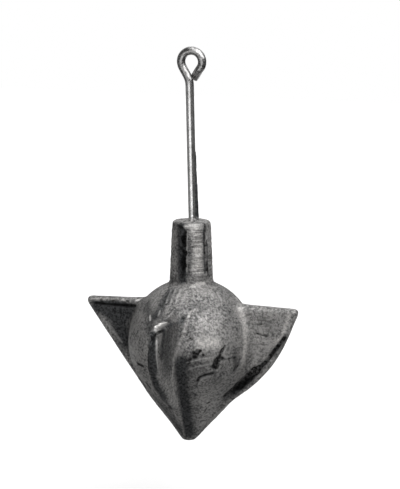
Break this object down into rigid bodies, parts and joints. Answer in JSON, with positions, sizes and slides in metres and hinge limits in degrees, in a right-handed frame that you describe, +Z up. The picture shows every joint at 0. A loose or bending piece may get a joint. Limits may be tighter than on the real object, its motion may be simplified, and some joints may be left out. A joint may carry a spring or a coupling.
{
  "type": "fishing weight",
  "caption": "Shore-casting fishing weight: a lead ball with conical nose, neck and radial grip fins, cast round a steel wire whose eye takes the line.",
  "frame": {"origin": "centre of the wire's eye, where the weight hangs from the line", "axes": "+Z up along the wire from the lead towards the eye; X in the plane that the wire is bent in; fins stand along X and Y"},
  "size_m": [0.0476, 0.0488, 0.0861],
  "materials": {
    "cast_lead": "dull grey cast lead, oxidised, with brighter worn edges",
    "drawn_steel": "drawn steel wire, slightly dulled"
  },
  "bodies": {
    "root": {"lead_body": "cast_lead", "eye_wire": "drawn_steel"}
  },
  "joints": []
}
